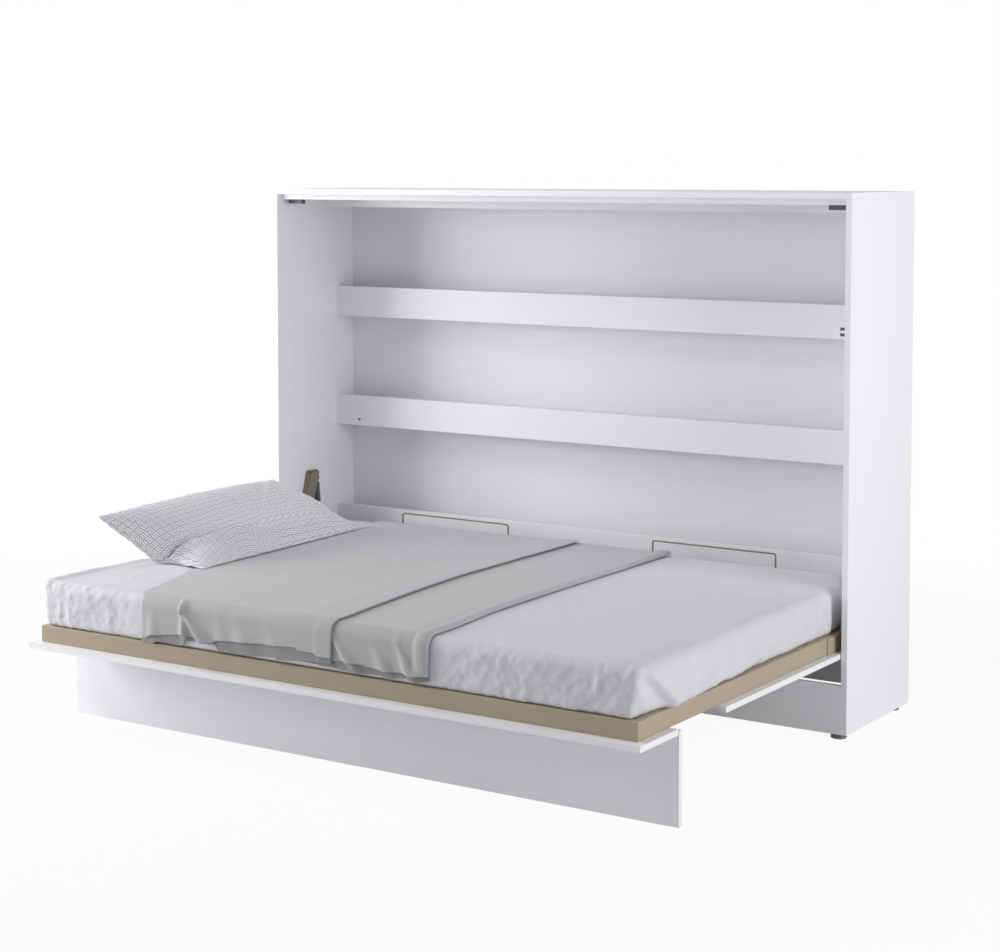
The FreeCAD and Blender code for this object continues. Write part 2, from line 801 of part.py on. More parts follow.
def pillow_ring(station):
    # Section across the pillow at one of its stations, from the raised edge to the low one.
    share = pillow_station_shares[station]
    outer_y = pillow_outer_front_y + share * (pillow_outer_rear_y - pillow_outer_front_y)
    inner_y = pillow_inner_front_y + share * (pillow_inner_rear_y - pillow_inner_front_y)
    low_x = pillow_inner_front_x + share * (pillow_inner_rear_x - pillow_inner_front_x)
    outer_rise = pillow_outer_rise_shares[station] * pillow_thickness
    inner_rise = pillow_inner_rise_shares[station] * pillow_thickness
    mean_rise = (outer_rise + inner_rise) / 2
    # The belly just meets the bed when its middle stands at this height.
    belly_rise = (mean_rise - math.sqrt(outer_rise * inner_rise)) / 2
    crown_rise = mean_rise + pillow_seam + pillow_puff_shares[station] * pillow_thickness
    middle = V((pillow_outer_x + low_x) / 2, (outer_y + inner_y) / 2, pillow_seat)
    outer = V(pillow_outer_x, outer_y, pillow_seat + outer_rise)
    inner = V(low_x, inner_y, pillow_seat + inner_rise)
    seam = V(0, 0, pillow_seam)
    belly = Part.Arc(outer, middle + V(0, 0, belly_rise), inner).toShape()
    crown = Part.Arc(inner + seam, middle + V(0, 0, crown_rise), outer + seam).toShape()
    points = belly.discretize(pillow_belly_points) + crown.discretize(pillow_crown_points)
    return Part.makePolygon(points + [points[0]])


def pillow():
    rings = [pillow_ring(station) for station in range(len(pillow_station_shares))]
    return Part.makeLoft(rings, True, False)


def save_cabinet():
    save_pair("side_panel", side_panel())
    save("top_panel", top_panel())
    save("back_panel", back_panel())
    save("plinth", plinth())
    save("low_rear_board", low_rear_board())
    for name, bottom in (("lower", lower_shelf_bottom), ("upper", upper_shelf_bottom)):
        save(name + "_shelf_lip", shelf_lip(bottom))
        save(name + "_shelf_board", shelf_board(bottom))
    save("top_apron", top_apron())
    save("stop_batten", stop_batten())
    save("wall_rail", wall_rail())
    places = glide_places()
    for name, place in places.items():
        save("glide_" + name, glide(place))
    rear_front = cabinet_depth - glide_rear_setback - glide_bracket_depth / 2
    fronts = (board_thickness, board_thickness, rear_front, rear_front)
    save("glide_brackets", *[glide_bracket(*pair) for pair in zip(places.values(), fronts)])
    save_pair("frame_catch", frame_catch())
    save("catch_strike", catch_strike())
    save("shelf_peg", shelf_peg())
    save_pair("pivot_plate", *pivot_plate())
    save_pair("strut_hood", *strut_hood())


def save_bed():
    save("frame_front_rail", frame_rail(0, frame_length, 0, frame_front + tube_width / 2))
    save("frame_rear_rail", frame_rail(180, frame_length, 0, frame_rear - tube_width / 2))
    save("frame_right_rail", frame_rail(90, frame_depth, frame_half - tube_width / 2, frame_mid_y))
    save("frame_left_rail", frame_rail(-90, frame_depth, tube_width / 2 - frame_half, frame_mid_y))
    save("frame_middle_rail", middle_rail())
    save("frame_cross_tubes", *cross_tubes())
    for name, (low, high) in zip(("front", "rear"), row_spans()):
        save("slats_" + name + "_row", *[slat(x, low, high) for x in slat_places()])
        save("slat_holders_" + name + "_row", *holders_of_row(low, high))
    save("facade_strip", facade_board(strip_front, strip_rear))
    save("facade_main_board", facade_board(main_front, main_rear))
    save_pair("pivot_arm", pivot_arm())
    save("leg_hinge_tongues", *[leg_tongue(x) for x in leg_hinge_places()])
    save("leg_panel", leg_panel())
    wire_offset = wire_offset_share * frame_length
    save("mattress_wire_left", mattress_wire(-wire_offset))
    save("mattress_wire_right", mattress_wire(wire_offset))


def save_struts():
    save_pair("strut_cylinder", strut_cylinder())
    save_pair("strut_rod", strut_rod())


def save_bedding():
    save("mattress", mattress())
    save("throw_wide", wide_throw())
    save("throw_narrow", narrow_throw())
    save("pillow", pillow())


os.makedirs("parts", exist_ok=True)
save_cabinet()
save_bed()
save_struts()
save_bedding()
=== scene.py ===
import math

import bpy
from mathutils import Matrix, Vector, noise


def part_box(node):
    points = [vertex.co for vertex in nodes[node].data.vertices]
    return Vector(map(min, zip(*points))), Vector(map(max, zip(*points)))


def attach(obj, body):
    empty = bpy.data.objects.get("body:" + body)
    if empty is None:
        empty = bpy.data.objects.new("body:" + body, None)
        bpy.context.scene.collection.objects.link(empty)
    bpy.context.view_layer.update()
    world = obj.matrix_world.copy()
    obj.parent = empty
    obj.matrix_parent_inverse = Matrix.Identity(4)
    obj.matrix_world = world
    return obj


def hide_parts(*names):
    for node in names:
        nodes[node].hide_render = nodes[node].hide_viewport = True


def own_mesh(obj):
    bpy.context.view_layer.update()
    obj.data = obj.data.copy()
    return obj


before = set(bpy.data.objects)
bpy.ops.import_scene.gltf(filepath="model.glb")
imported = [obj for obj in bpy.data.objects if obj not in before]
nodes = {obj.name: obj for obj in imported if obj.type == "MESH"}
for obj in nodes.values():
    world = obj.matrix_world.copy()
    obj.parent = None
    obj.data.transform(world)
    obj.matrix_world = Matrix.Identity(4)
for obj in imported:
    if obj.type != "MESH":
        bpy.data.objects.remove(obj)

# Looks of a horizontal fold-down wall bed, shown open and made up.
# Metres, in the frame's own axes: X along the cabinet, Y into the wall, Z up.

# noise vectors start from the clock unless they are seeded
noise.seed_set(1)
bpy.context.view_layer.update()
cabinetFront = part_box("side_panel_right")[0].y
print("frame loaded:", len(nodes), "nodes")


# Shader maths

class Sock:
    # one socket of a material; sums and products on it add Math nodes
    def __init__(self, finish, socket):
        self.finish = finish
        self.socket = socket

    def maths(self, operation, *others):
        values = dict(enumerate((self, *others)))
        return self.finish.node("ShaderNodeMath", {"operation": operation}, values)

    def __add__(self, other):
        return self.maths("ADD", other)

    __radd__ = __add__

    def __mul__(self, other):
        return self.maths("MULTIPLY", other)

    __rmul__ = __mul__

    def __sub__(self, other):
        return self.maths("SUBTRACT", other)

    def __rsub__(self, other):
        return (self * -1) + other

    def __truediv__(self, other):
        return self.maths("DIVIDE", other)

    def __mod__(self, other):
        return self.maths("FLOORED_MODULO", other)

    def __lt__(self, other):
        return self.maths("LESS_THAN", other)

    def __abs__(self):
        return self.maths("ABSOLUTE")


class Finish:
    # one material and the nodes that feed its shader
    def __init__(self, name, roughness=0.5, **constants):
        self.material = bpy.data.materials.new(name)
        self.material.use_nodes = True
        self.tree = self.material.node_tree
        self.shader = self.tree.nodes["Principled BSDF"]
        self.base = finishColours[name]
        self.material.diffuse_color = (*self.base, 1.0)
        self.shader.inputs["Base Color"].default_value = (*self.base, 1.0)
        self.shader.inputs["Roughness"].default_value = roughness
        for key, value in constants.items():
            self.shader.inputs[key.replace("_", " ")].default_value = value

    def node(self, kind, settings=None, values=None, output=0):
        made = self.tree.nodes.new(kind)
        for key, value in (settings or {}).items():
            setattr(made, key, value)
        for key, value in (values or {}).items():
            if isinstance(value, Sock):
                self.tree.links.new(value.socket, made.inputs[key])
            else:
                made.inputs[key].default_value = value
        return Sock(self, made.outputs[output])

    def feed(self, socket, value):
        self.tree.links.new(value.socket, self.shader.inputs[socket])

    def place(self, scale=(1.0, 1.0, 1.0)):
        where = self.node("ShaderNodeTexCoord", output="Object")
        return self.node("ShaderNodeMapping", None, {"Vector": where, "Scale": scale})

    def cloud(self, scale, detail=3.0, roughness=0.5, where=None, kind="FBM", **values):
        where = where or self.place()
        sockets = {"Vector": where, "Scale": scale, "Detail": detail, "Roughness": roughness}
        sockets.update(values)
        return self.node("ShaderNodeTexNoise", {"noise_type": kind}, sockets)

    def mixed(self, factor, *colours):
        first, second = (part if isinstance(part, Sock) else (*part, 1.0) for part in colours)
        values = {0: factor, 6: first, 7: second}
        return self.node("ShaderNodeMix", {"data_type": "RGBA"}, values, output=2)

    def part(self, vector, axis):
        return self.node("ShaderNodeSeparateXYZ", None, {0: vector}, output=axis)

    def tint(self, share):
        return tuple(min(1.0, part * share) for part in self.base)

    def shades(self, factor, low, high):
        return self.mixed(factor, self.tint(low), self.tint(high))

    def ramp(self, factor, *places):
        # black to white between two values
        made = self.node("ShaderNodeValToRGB", None, {0: factor})
        for stop, place in zip(made.socket.node.color_ramp.elements, places):
            stop.position = place
        return made

    def bump(self, height, distance, strength=1.0, under=None):
        values = {"Height": height, "Distance": distance, "Strength": strength}
        if under:
            values["Normal"] = under
        return self.node("ShaderNodeBump", None, values)


# Finishes

finishColours = {
    "whiteBoard": (0.895, 0.895, 0.92),
    "backBoard": (0.875, 0.875, 0.90),
    "goldPaint": (0.42, 0.36, 0.262),
    # painted shade: a darker copy of the gold paint, for the strut hoods
    "goldPaintedShade": (0.25, 0.225, 0.175),
    "wirePaint": (0.20, 0.17, 0.115),
    "zincSteel": (0.52, 0.53, 0.54),
    "greyFitting": (0.10, 0.10, 0.11),
    "strutGrey": (0.10, 0.105, 0.10),
    "rodSteel": (0.62, 0.62, 0.63),
    "slatWood": (0.62, 0.44, 0.27),
    "holderPlastic": (0.05, 0.05, 0.055),
    "glidePlastic": (0.15, 0.15, 0.155),
    "pegMetal": (0.16, 0.16, 0.17),
    "sheetFabric": (0.69, 0.70, 0.735),
    "throwFabric": (0.46, 0.46, 0.475),
    "pillowFabric": (0.41, 0.40, 0.455),
    "pillowThread": (0.96, 0.96, 0.99),
    "floorWhite": (0.78, 0.78, 0.78),
}


def boardFinish(name, sheen):
    # melamine: a faint pearl in the colour and a fine pressed grain
    made = Finish(name, 0.42, Specular_IOR_Level=sheen)
    drift = made.cloud(2.2, 2.0)
    made.feed("Base Color", made.shades(drift, 0.985, 1.015))
    grain = made.cloud(900.0, 2.0)
    made.feed("Roughness", grain * 0.12 + 0.36)
    made.feed("Normal", made.bump(grain, 0.00004, 0.5))
    return made.material


def paintFinish(name, metal, rough, sheen=0.5):
    # powder paint: fine orange peel and a little metal flake
    made = Finish(name, rough, Metallic=metal, Specular_IOR_Level=sheen)
    flake = made.cloud(2600.0, 1.0)
    drift = made.cloud(7.0, 2.0)
    base = made.shades(drift, 0.95, 1.05)
    speck = made.ramp(flake, 0.55, 0.75)
    made.feed("Base Color", made.mixed(speck * 0.25, base, made.tint(1.35)))
    peel = made.cloud(420.0, 2.0)
    made.feed("Roughness", peel * 0.12 + (rough - 0.06))
    made.feed("Normal", made.bump(peel, 0.0001, 0.4))
    return made.material


def zincFinish(name):
    made = Finish(name, 0.4, Metallic=0.9)
    spots = {"Vector": made.place(), "Scale": 160.0}
    spangle = made.node("ShaderNodeTexVoronoi", None, spots, output="Color")
    shade = made.node("ShaderNodeRGBToBW", None, {0: spangle})
    made.feed("Base Color", made.shades(shade, 0.85, 1.12))
    made.feed("Roughness", shade * 0.18 + 0.3)
    return made.material


def rodFinish(name):
    made = Finish(name, 0.18, Metallic=1.0)
    drawn = made.cloud(700.0, 2.0, where=made.place((1.0, 0.2, 0.2)))
    made.feed("Roughness", drawn * 0.12 + 0.12)
    made.feed("Base Color", made.shades(drawn, 0.95, 1.05))
    return made.material


def slatFinish(name):
    # glued layers of beech, the grain running along each slat
    made = Finish(name, 0.5)
    grain = made.cloud(60.0, 5.0, 0.6, where=made.place((1.0, 0.05, 1.0)))
    fleck = made.cloud(400.0, 2.0, where=made.place((1.0, 0.12, 1.0)))
    base = made.shades(grain, 0.72, 1.18)
    dark = made.ramp(fleck, 0.6, 0.72)
    made.feed("Base Color", made.mixed(dark * 0.4, base, made.tint(0.5)))
    made.feed("Normal", made.bump(grain + fleck, 0.0002, 0.3))
    return made.material


def mouldedFinish(name, rough):
    # moulded plastic with a fine leather-like spark texture
    made = Finish(name, rough)
    spark = made.cloud(1500.0, 2.0)
    drift = made.cloud(20.0, 2.0)
    made.feed("Base Color", made.shades(drift, 0.93, 1.07))
    made.feed("Roughness", spark * 0.2 + (rough - 0.1))
    made.feed("Normal", made.bump(spark, 0.00005, 0.6))
    return made.material


def threadWeave(made, where, pitch):
    # plain weave: warp and weft threads cross over and under
    turns = 2 * math.pi / pitch
    warp = made.part(where, 0)
    weft = made.part(where, 1)
    return (warp * turns).maths("SINE") * (weft * turns).maths("SINE")


sheetWeave = {"pitch": 0.0016, "crumple": 34.0, "crumpleDepth": 0.0030}


def sheetFinish(name):
    made = Finish(name, 0.85, Sheen_Weight=0.15, Sheen_Roughness=0.5)
    where = made.place()
    drift = made.cloud(3.0, 3.0)
    tone = made.shades(drift, 0.965, 1.035)
    weave = threadWeave(made, where, sheetWeave["pitch"])
    made.feed("Base Color", made.mixed(weave * 0.5 + 0.5, made.tint(0.97), tone))
    crumple = made.cloud(sheetWeave["crumple"], 4.0, 0.55, kind="RIDGED_MULTIFRACTAL", Distortion=0.6)
    folds = made.bump(crumple, sheetWeave["crumpleDepth"], 0.5)
    made.feed("Normal", made.bump(weave, 0.00008, 0.4, folds))
    return made.material


throwWeave = {"pitch": 0.0022, "stitchAt": 0.051, "stitchWidth": 0.0011, "stitchLength": 0.0055}


def throwFinish(name):
    # soft brushed cloth; a line of stitches along each hem band; the inner layer of the folded throw is
    # darkened as painted shade
    made = Finish(name, 0.9, Sheen_Weight=0.25, Sheen_Roughness=0.45)
    where = made.node("ShaderNodeAttribute", {"attribute_name": "clothPlace"}, output="Vector")
    across = made.part(where, 0)
    along = made.part(where, 1)
    under = made.part(where, 2)
    drift = made.cloud(2.4, 3.0)
    nap = made.cloud(240.0, 3.0)
    tone = made.shades(drift, 0.96, 1.04)
    tone = made.mixed(nap * 0.3, tone, made.tint(1.12))
    # painted shade: the inner layer, marked by the third part of clothPlace, is darkened as if in the
    # outer layer's shadow
    tone = made.mixed(under, tone, made.tint(0.62))
    onLine = abs(across - throwWeave["stitchAt"]) < throwWeave["stitchWidth"]
    onThread = ((along / throwWeave["stitchLength"]) % 1.0) < 0.62
    stitch = onLine * onThread
    made.feed("Base Color", made.mixed(stitch, tone, made.tint(1.25)))
    weave = threadWeave(made, where, throwWeave["pitch"])
    made.feed("Normal", made.bump(weave * 0.5 + nap * 0.5 - onLine * 2.0, 0.0002, 0.5))
    return made.material


basketWeave = {"cell": 0.024, "strokes": 3.0, "strokeShare": 0.60, "endShare": 0.07}


def pillowFinish(name):
    # printed basket weave: cells of three strokes that lie across each other in turn
    made = Finish(name, 0.85, Sheen_Weight=0.15)
    where = made.node("ShaderNodeAttribute", {"attribute_name": "clothPlace"}, output="Vector")
    cellX = made.part(where, 0) / basketWeave["cell"]
    cellY = made.part(where, 1) / basketWeave["cell"]
    turnedCell = (cellX.maths("FLOOR") + cellY.maths("FLOOR")) % 2.0
    insideX = cellX % 1.0
    insideY = cellY % 1.0
    run = insideX * turnedCell + insideY * (1 - turnedCell)
    cross = insideY * turnedCell + insideX * (1 - turnedCell)
    fromMiddle = abs((cross * basketWeave["strokes"]) % 1.0 - 0.5)
    inStroke = fromMiddle < basketWeave["strokeShare"] / 2
    inRun = abs(run - 0.5) < (0.5 - basketWeave["endShare"])
    stroke = inStroke * inRun
    drift = made.cloud(30.0, 3.0)
    ground = made.shades(drift, 0.9, 1.1)
    made.feed("Base Color", made.mixed(stroke * 0.95, ground, finishColours["pillowThread"]))
    weave = threadWeave(made, where, 0.0018)
    made.feed("Normal", made.bump(weave * 0.3 + stroke * 0.3, 0.00025, 0.5))
    return made.material


finishes = {
    "white_board": boardFinish("whiteBoard", 0.4),
    "back_board": boardFinish("backBoard", 0.25),
    "gold_paint": paintFinish("goldPaint", 0.0, 0.5, 0.2),
    "zinc_steel": zincFinish("zincSteel"),
    "grey_fitting": mouldedFinish("greyFitting", 0.5),
    "strut_grey": paintFinish("strutGrey", 0.2, 0.42),
    "rod_steel": rodFinish("rodSteel"),
    "slat_wood": slatFinish("slatWood"),
    "holder_plastic": mouldedFinish("holderPlastic", 0.5),
    "glide_plastic": mouldedFinish("glidePlastic", 0.45),
    "peg_metal": zincFinish("pegMetal"),
    "sheet_fabric": sheetFinish("sheetFabric"),
    "throw_fabric": throwFinish("throwFabric"),
    "pillow_fabric": pillowFinish("pillowFabric"),
}
print("finishes made:", len(finishes))


# the strut hoods take a darker copy of the gold paint: painted shade for the shadow they sit in beside the
# side panels
hoodPaintedShade = paintFinish("goldPaintedShade", 0.0, 0.5, 0.2)
edgeRounding = {"white_board": 0.0008, "gold_paint": 0.0010, "zinc_steel": 0.0005, "slat_wood": 0.0015,
                "grey_fitting": 0.0006}
for name, node in nodes.items():
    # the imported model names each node's material after its slot
    slotName = node.data.materials[0].name.split(".")[0]
    node.data.materials.clear()
    node.data.materials.append(hoodPaintedShade if name.startswith("strut_hood") else finishes[slotName])
    if slotName in edgeRounding:
        rounding = node.modifiers.new("softEdges", "BEVEL")
        rounding.width = edgeRounding[slotName]
        rounding.segments = 2
        rounding.angle_limit = math.radians(40)


# Mesh helpers

def linked(name, data):
    made = bpy.data.objects.new(name, data)
    bpy.context.scene.collection.objects.link(made)
    return made


def addedPiece(name, mesh, body, finish, smooth=True):
    if smooth:
        mesh.polygons.foreach_set("use_smooth", [True] * len(mesh.polygons))
    mesh.materials.clear()
    mesh.materials.append(finish)
    piece = linked(name, mesh)
    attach(piece, body)
    return piece


def newPiece(name, vertices, faces, body, slotName, smooth=True):
    mesh = bpy.data.meshes.new(name)
    mesh.from_pydata([tuple(v) for v in vertices], [], faces)
    mesh.validate()
    return addedPiece(name, mesh, body, finishes[slotName], smooth)


def keepPlaces(piece, places):
    # where each vertex lies on the flat cloth, for weave and stitches; on the throws the third part marks
    # the inner layer, which the finish darkens as painted shade
    attribute = piece.data.attributes.new("clothPlace", "FLOAT_VECTOR", "POINT")
    attribute.data.foreach_set("vector", [part for place in places for part in place])


def softStep(low, high, value):
    share = min(1.0, max(0.0, (value - low) / (high - low)))
    return share * share * (3 - 2 * share)


def between(table, at):
    # straight-line reading of a small table of pairs
    if at <= table[0][0]:
        return table[0][1]
    for (lowAt, low), (highAt, high) in zip(table, table[1:]):
        if at <= highAt:
            return low + (high - low) * (at - lowAt) / (highAt - lowAt)
    return table[-1][1]


def ringFaces(rings, sides, first):
    # quads between rings of vertices, and a face at each end
    faces = []
    for ring in range(rings - 1):
        for step in range(sides):
            after = (step + 1) % sides
            low, high = first + ring * sides, first + (ring + 1) * sides
            faces.append((low + step, low + after, high + after, high + step))
    faces.append(tuple(reversed(range(first, first + sides))))
    last = first + (rings - 1) * sides
    faces.append(tuple(range(last, last + sides)))
    return faces


def lathed(profile, sides, centre):
    # turned shape about an upright axis, from its radius and height pairs
    vertices = []
    for radius, height in profile:
        for step in range(sides):
            angle = 2 * math.pi * step / sides
            vertices.append(centre + Vector((radius * math.cos(angle), radius * math.sin(angle), height)))
    return vertices, ringFaces(len(profile), sides, 0)


def bell(offset, width):
    return math.exp(-((offset / width) ** 2))


ridgeLook = {"warp": 0.45, "warpScale": 0.6, "thinness": 4.4, "sharpness": 1.4}


def ridges(point, layers):
    # thin raised lines where a warped noise crosses zero
    total = 0.0
    for share, scale, shift in layers:
        where = Vector(part * size + start for part, size, start in zip(point, scale, shift))
        where += ridgeLook["warp"] * noise.noise_vector(where * ridgeLook["warpScale"])
        line = max(0.0, 1.0 - abs(noise.noise(where)) * ridgeLook["thinness"])
        total += share * line ** ridgeLook["sharpness"]
    return total


# Mattress in its fitted sheet

mattressLook = {
    "cell": 0.0068, "frontCorner": 0.020, "rearCorner": 0.150, "topEdge": 0.028, "bottomEdge": 0.010,
    "topRelief": 0.0015, "frontRelief": 0.0050, "endRelief": 0.0046, "cornerRelief": 0.0030,
    "endReach": 0.025, "frontReach": 0.005,
    "hemWave": 0.004, "hemShare": 0.25, "belly": 0.0030,
    "coverFrom": -0.64, "coverTo": 0.40, "underCover": 0.12,
    "pleatTop": 0.014, "pleatReach": 0.175, "pleatRidge": 0.0065, "pleatStep": 0.012, "pleatSlope": 0.14,
    "pleatWidth": 0.011, "pleatTilt": 0.75, "bulgeFrom": -1.00, "bulgeTo": -0.45,
    # layers of creases: share, how close together they lie along each axis, and where the noise is read
    "topCreases": [(1.0, (11, 7, 11), (3, 1, 7))], "topFrontCreases": [(1.0, (17, 26, 9), (2, 8, 3))],
    "risingCreases": [(0.6, (18, 9, 11), (1, 5, 2)), (0.35, (43, 9, 30), (5, 3, 1))],
    "fallingCreases": [(0.5, (27, 9, 16), (8, 2, 4))], "cornerCreases": [(1.0, (16, 16, 6), (6, 6, 6))],
    "endCreases": [(1.0, (9, 11, 6), (4, 4, 9)), (0.5, (9, 24, 15), (2, 7, 1))],
}


def latticeBox(counts):
    # surface lattice of a box: shares along each axis and the faces between them, one face below
    nx, ny, nz = counts
    index, shares, faces = {}, [], []

    def vertex(*key):
        if key not in index:
            index[key] = len(shares)
            shares.append((key[0] / nx, key[1] / ny, key[2] / nz))
        return index[key]

    def quad(*corners):
        faces.append([vertex(*corner) for corner in corners])

    for i in range(nx):
        for j in range(ny):
            quad((i, j, nz), (i + 1, j, nz), (i + 1, j + 1, nz), (i, j + 1, nz))
    for k in range(nz):
        for i in range(nx):
            quad((i, 0, k), (i + 1, 0, k), (i + 1, 0, k + 1), (i, 0, k + 1))
            quad((i + 1, ny, k), (i, ny, k), (i, ny, k + 1), (i + 1, ny, k + 1))
        for j in range(ny):
            quad((0, j + 1, k), (0, j, k), (0, j, k + 1), (0, j + 1, k + 1))
            quad((nx, j, k), (nx, j + 1, k), (nx, j + 1, k + 1), (nx, j, k + 1))
    rim = [(i, 0) for i in range(nx)] + [(nx, j) for j in range(ny)]
    rim += [(i, ny) for i in range(nx, 0, -1)] + [(0, j) for j in range(ny, 0, -1)]
    faces.append([vertex(i, j, 0) for i, j in reversed(rim)])
    return shares, faces


def roundedPoint(share, low, high, look):
    # from a point on the sharp box to the same point on the rounded one
    corner = look["frontCorner"] if share[1] < 0.5 else look["rearCorner"]
    edge, bottom = look["topEdge"], look["bottomEdge"]
    centre = (low + high) / 2
    half = (high - low) / 2
    x = (share[0] * 2 - 1) * half.x
    y = (share[1] * 2 - 1) * half.y
    z = share[2] * half.z * 2
    coreX = max(-half.x + corner, min(half.x - corner, x))
    coreY = max(-half.y + corner, min(half.y - corner, y))
    outX, outY = x - coreX, y - coreY
    reach, length = max(abs(outX), abs(outY)), math.hypot(outX, outY)
    if length > 0:
        wayX, wayY = outX / length, outY / length
        inset = corner - reach
        rise = z - (half.z * 2 - edge)
        push = edge - inset
        if push > 0 and rise > 0:
            turn = max(push, rise) / math.hypot(push, rise)
            inset = edge - push * turn
            z = half.z * 2 - edge + rise * turn
        if z < bottom:
            inset = max(inset, bottom - z)
        x, y = coreX + wayX * (corner - inset), coreY + wayY * (corner - inset)
    return Vector((centre.x + x, centre.y + y, low.z + z))


def cornerPleat(point, low, high, look):
    # the fitted sheet folds over itself down each front corner
    fall = (high.z - point.z) / (high.z - low.z)
    line = low.y + look["pleatTop"] + look["pleatReach"] * max(0.0, fall)
    beyond = (line - point.y) * look["pleatTilt"]
    crest = look["pleatRidge"] * bell(beyond, look["pleatWidth"])
    drop = look["pleatStep"] * softStep(0.004, 0.022, beyond) + look["pleatSlope"] * max(0.0, beyond)
    return (crest - drop) * softStep(0.03, 0.25, fall)


def sheetRelief(point, normal, low, high, look):
    # how far the fitted sheet stands in or out from the smooth mattress
    fromCorner = min(high.x - point.x, point.x - low.x) + min(high.y - point.y, point.y - low.y)
    nearCorner = 1.0 - softStep(0.05, 0.30, fromCorner)
    nearFront = 1.0 - softStep(0.02, 0.16, point.y - low.y)
    soft = noise.noise(point * 5.0)
    folds = ridges(point, look["topCreases"]) + nearFront * ridges(point, look["topFrontCreases"])
    relief = look["topRelief"] * max(0.0, normal.z) * (0.9 * soft + folds - 0.5)
    front = max(0.0, -normal.y)
    if front > 0.01:
        rising = Vector((point.x + 0.7 * point.z, point.y, point.z))
        falling = Vector((point.x - 0.9 * point.z, point.y, point.z))
        wrinkles = ridges(rising, look["risingCreases"]) + ridges(falling, look["fallingCreases"])
        relief += front * look["frontRelief"] * (wrinkles - 0.55 + 0.7 * noise.noise(point * 11.0))
    end = abs(normal.x)
    if end > 0.01:
        wrinkles = ridges(point, look["endCreases"])
        relief += end * look["endRelief"] * (wrinkles - 0.45 + 0.9 * noise.noise(point * 8.0))
        relief += end * cornerPleat(point, low, high, look)
    if nearCorner > 0:
        pleats = ridges(point, look["cornerCreases"])
        relief += nearCorner * (1 - max(0.0, normal.z) ** 2) * look["cornerRelief"] * (pleats - 0.35)
    covered = softStep(look["coverFrom"] - 0.04, look["coverFrom"], point.x)
    covered *= 1 - softStep(look["coverTo"] - 0.01, look["coverTo"] + 0.03, point.x)
    # the ends bulge only where the struts' hoods leave room once the bed is folded
    inCabinet = softStep(look["bulgeFrom"], look["bulgeTo"], point.y - cabinetFront)
    reach = front * look["frontReach"] + end * look["endReach"] * (1 - inCabinet)
    return relief * (1 - covered * (1 - look["underCover"])) + reach


def mattressInSheet(look):
    low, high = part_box("mattress")
    size = high - low
    counts = [max(4, round(part / look["cell"])) for part in size]
    shares, faces = latticeBox(counts)
    points = [roundedPoint(share, low, high, look) for share in shares]
    piece = newPiece("mattressInSheet", points, faces, "bed", "sheet_fabric")
    normals = [vertex.normal.copy() for vertex in piece.data.vertices]
    for vertex, normal in zip(piece.data.vertices, normals):
        point = vertex.co.copy()
        height = (point.z - low.z) / size.z
        side = 1.0 - abs(normal.z)
        relief = sheetRelief(point, normal, low, high, look)
        belly = look["belly"] * side * math.sin(math.pi * min(1.0, max(0.0, height)))
        vertex.co = point + normal * (relief + belly * abs(normal.x))
        if height < look["hemShare"]:
            wave = 0.5 + 0.5 * noise.noise(point * 11.0)
            vertex.co.z += side * look["hemWave"] * wave * (1 - height / look["hemShare"])
        vertex.co.z = max(low.z, vertex.co.z)
    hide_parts("mattress")
    return piece


mattressPiece = mattressInSheet(mattressLook)
print("mattress in its sheet:", len(mattressPiece.data.vertices), "vertices")


# Throws laid across the mattress

throwLook = {
    "step": 0.0062, "hangRows": 26, "thickness": 0.0022, "lift": 0.0046, "bend": 0.028,
    "innerGap": 0.0030, "bandWidth": 0.056, "bandLift": 0.0022, "overRamp": 0.15,
    "rollWidth": 0.046, "rollHeight": 0.0085,
    "innerSwell": 0.4, "innerStart": 0.35, "innerShade": 1.0, "flatSteps": 110, "bendSteps": 9,
    # depth over which a fold opens under the bend, depth at which it is in its place, dip beside it
    "openDepth": 0.085, "leanDepth": 0.09, "dip": 0.2, "dipAt": 2.0,
    "unevenness": 0.0009, "hemWave": 0.0016,
}
wideThrowLook = {
    "left": [(-1.172, -0.598), (-1.088, -0.646), (-0.996, -0.668), (-0.905, -0.695), (-0.818, -0.732),
             (-0.55, -0.78), (0.223, -0.79)],
    "right": [(-1.172, 0.074), (-1.098, 0.082), (-0.928, 0.058), (-0.658, 0.028), (-0.446, 0.012),
              (0.223, 0.012)],
    "hem": [(-0.598, 0.317), (-0.572, 0.329), (-0.53, 0.333), (-0.446, 0.345), (-0.400, 0.336),
            (-0.381, 0.331), (-0.345, 0.333), (-0.33, 0.342), (-0.20, 0.350), (-0.121, 0.354),
            (-0.045, 0.358), (-0.040, 0.3515), (0.02, 0.3505), (0.025, 0.345), (0.074, 0.343)],
    "innerHem": [(-0.598, 0.303), (-0.565, 0.304), (-0.560, 0.311), (-0.455, 0.309), (-0.45, 0.328),
                 (-0.335, 0.330), (-0.33, 0.311), (-0.227, 0.314), (-0.12, 0.321), (-0.115, 0.314),
                 (-0.051, 0.324), (0.086, 0.327)],
    # place along the hem, height, width, how much the fold leans, and its share that starts at the bend
    "folds": [(-0.357, 0.027, 0.018, 1.05, 0.45), (-0.443, 0.019, 0.014, 0.18, 0.5),
              (-0.30, 0.006, 0.020, 0.3, 0.1), (-0.22, 0.008, 0.028, 0.4, 0.1),
              (-0.10, 0.006, 0.026, 0.5, 0.1), (-0.565, 0.008, 0.018, 0.1, 0.1)],
    "overFrom": -0.040, "overLift": 0.0056,
}
